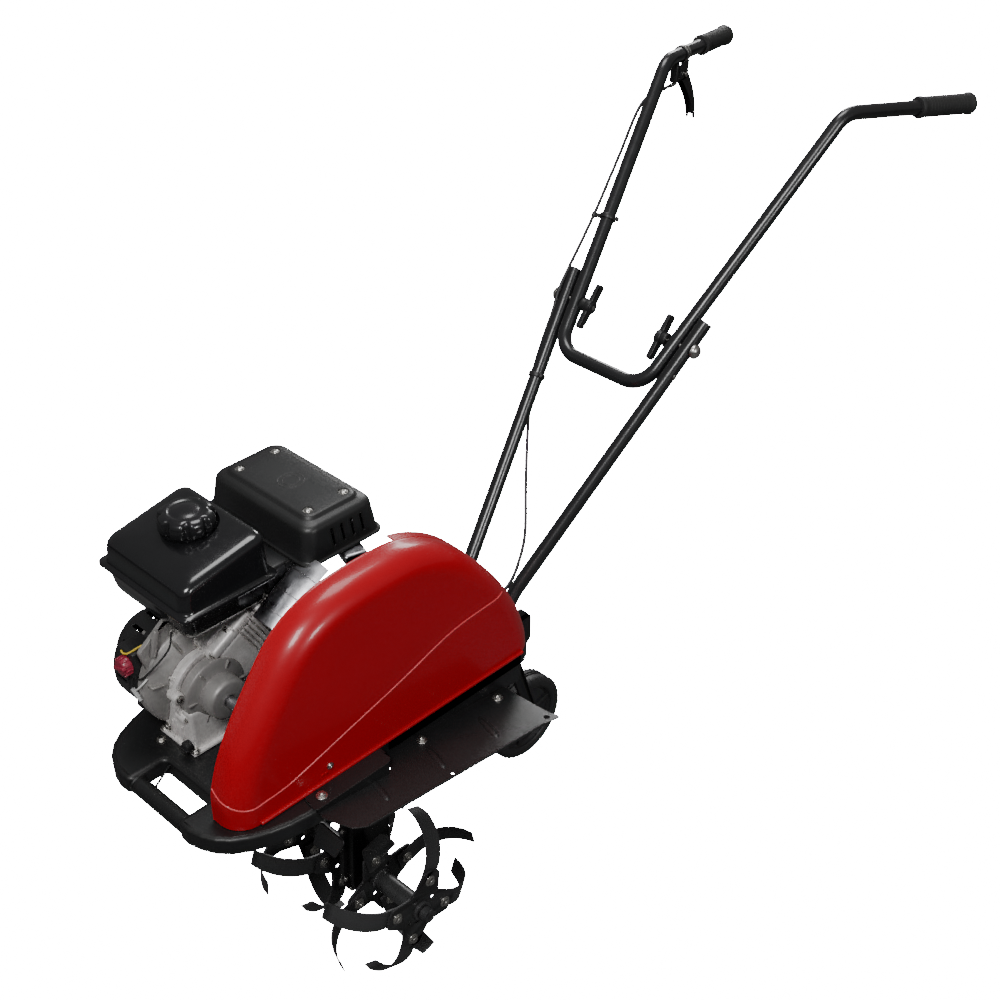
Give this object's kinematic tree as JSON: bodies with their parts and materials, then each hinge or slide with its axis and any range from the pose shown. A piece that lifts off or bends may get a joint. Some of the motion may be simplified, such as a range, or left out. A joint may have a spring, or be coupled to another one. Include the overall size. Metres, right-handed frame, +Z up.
{
  "type": "garden tiller",
  "caption": "Small petrol front-tine tiller with belt cover, chain-driven tine sets, fenders, transport wheel and a folding tubular handlebar with clutch lever.",
  "frame": {"origin": "middle of the bounding box on the ground, under the machine", "axes": "+Z up, -Y the way the machine drives, +X its left side, where the belt cover is; the handlebar reaches towards +Y"},
  "size_m": [0.579, 1.657, 1.3677],
  "materials": {
    "red_paint": "glossy moulded red",
    "black_paint": "black powder coat",
    "satin_plastic": "satin black",
    "gloss_black": "gloss black",
    "cast_metal": "cast, lightly textured",
    "bright_steel": "bright plated",
    "rubber": "matte black",
    "knob_red": "satin dark red"
  },
  "bodies": {
    "frame": {"air_cleaner": "satin_plastic", "belt_backplate": "black_paint", "belt_cover": "red_paint", "chain_case_left": "black_paint", "chain_case_right": "black_paint", "chassis_deck": "black_paint", "clamp_bolt_left": "bright_steel", "clamp_bolt_right": "bright_steel", "clutch_cable": "satin_plastic", "crankcase": "cast_metal", "cylinder_head": "cast_metal", "drive_belt": "rubber", "fender_left": "black_paint", "fender_right": "black_paint", "fuel_tank": "gloss_black", "heat_shield": "bright_steel", "idler_spring": "bright_steel", "lower_tube_left": "black_paint", "lower_tube_right": "black_paint", "muffler": "bright_steel", "muffler_cover": "satin_plastic", "recoil_cover": "satin_plastic"},
    "tine_rotor": {"tine_shaft": "bright_steel", "tine_hub_left": "black_paint", "tine_hub_right": "black_paint", "tine_left_inner_1": "black_paint", "tine_left_inner_2": "black_paint", "tine_left_inner_3": "black_paint", "tine_left_inner_4": "black_paint", "tine_left_outer_1": "black_paint", "tine_left_outer_2": "black_paint", "tine_left_outer_3": "black_paint", "tine_left_outer_4": "black_paint", "tine_right_inner_1": "black_paint", "tine_right_inner_2": "black_paint", "tine_right_inner_3": "black_paint", "tine_right_inner_4": "black_paint", "tine_right_outer_1": "black_paint", "tine_right_outer_2": "black_paint", "tine_right_outer_3": "black_paint", "tine_right_outer_4": "black_paint"},
    "engine_shaft": {"crankshaft": "bright_steel", "engine_pulley": "cast_metal"},
    "input_shaft": {"driven_pulley": "cast_metal"},
    "idler_lever": {"idler_arm": "bright_steel"},
    "idler_wheel": {"idler_pulley": "satin_plastic"},
    "handlebar": {"upper_handlebar": "black_paint", "grip_left": "rubber", "grip_right": "rubber", "lever_bracket": "satin_plastic"},
    "clutch_handle": {"clutch_lever": "satin_plastic"},
    "knob_left": {"wing_knob_left": "satin_plastic"},
    "knob_right": {"wing_knob_right": "satin_plastic"},
    "wheel_arm": {"wheel_bracket": "black_paint"},
    "transport_wheel": {"wheel": "satin_plastic"},
    "tank_cap": {"fuel_cap": "gloss_black"},
    "ignition_knob": {"switch_knob": "knob_red"},
    "oil_filler": {"oil_plug": "satin_plastic"},
    "starter_handle": {"starter_grip": "satin_plastic"}
  },
  "joints": [
    {"name": "tine_rotation", "type": "hinge", "parent": "frame", "child": "tine_rotor", "pos_m": [0, -0.43147, 0.16564], "axis": [1, 0, 0], "continuous": true},
    {"name": "input_shaft_rotation", "type": "hinge", "parent": "frame", "child": "input_shaft", "pos_m": [0, -0.39747, 0.74564], "axis": [1, 0, 0], "continuous": true},
    {"name": "engine_rotation", "type": "hinge", "parent": "frame", "child": "engine_shaft", "pos_m": [0, -0.66747, 0.70064], "axis": [1, 0, 0], "continuous": true},
    {"name": "clutch_squeeze", "type": "hinge", "parent": "handlebar", "child": "clutch_handle", "pos_m": [-0.21178, 0.61312, 1.31309], "axis": [-0.9624, -0.2715, 0], "range_deg": [0, 40], "stiffness_Nm_per_rad": 0.6, "springref_deg": -20.05},
    {"name": "idler_swing", "type": "hinge", "parent": "frame", "child": "idler_lever", "pos_m": [0, -0.47247, 0.87764], "axis": [1, 0, 0], "range_deg": [0, 5.2], "deforming": ["idler_spring"]},
    {"name": "idler_wheel_rotation", "type": "hinge", "parent": "idler_lever", "child": "idler_wheel", "pos_m": [0, -0.58217, 0.82079], "axis": [1, 0, 0], "continuous": true},
    {"name": "handlebar_fold", "type": "hinge", "parent": "frame", "child": "handlebar", "pos_m": [0, 0.22753, 1.01514], "axis": [1, 0, 0], "range_deg": [0, 130], "deforming": ["clutch_cable"]},
    {"name": "left_knob_turn", "type": "hinge", "parent": "frame", "child": "knob_left", "pos_m": [0.098, 0.22753, 1.01514], "axis": [1, 0, 0], "range_deg": [0, 360]},
    {"name": "right_knob_turn", "type": "hinge", "parent": "frame", "child": "knob_right", "pos_m": [-0.098, 0.22753, 1.01514], "axis": [-1, 0, 0], "range_deg": [0, 360]},
    {"name": "wheel_arm_swing", "type": "hinge", "parent": "frame", "child": "wheel_arm", "pos_m": [0, -0.11247, 0.53064], "axis": [1, 0, 0], "range_deg": [0, 75]},
    {"name": "wheel_rotation", "type": "hinge", "parent": "wheel_arm", "child": "transport_wheel", "pos_m": [0, -0.02747, 0.27064], "axis": [1, 0, 0], "continuous": true},
    {"name": "fuel_cap_turn", "type": "hinge", "parent": "frame", "child": "tank_cap", "pos_m": [-0.137, -0.61747, 0.95], "axis": [0, 0, 1], "range_deg": [0, 90]},
    {"name": "ignition_knob_turn", "type": "hinge", "parent": "frame", "child": "ignition_knob", "pos_m": [-0.134, -0.75547, 0.74964], "axis": [0, -1, 0], "range_deg": [0, 60]},
    {"name": "oil_plug_turn", "type": "hinge", "parent": "frame", "child": "oil_filler", "pos_m": [-0.044, -0.72147, 0.61864], "axis": [0, -1, 0], "range_deg": [0, 360]},
    {"name": "starter_pull", "type": "slide", "parent": "frame", "child": "starter_handle", "axis": [0, 1, 0], "range_m": [0, 0.25], "stiffness_N_per_m": 15, "springref_m": -0.05}
  ],
  "couplings": [
    {"joint": "input_shaft_rotation", "follows": "tine_rotation", "ratio": 2},
    {"joint": "idler_swing", "follows": "clutch_squeeze", "ratio": 0.13}
  ]
}
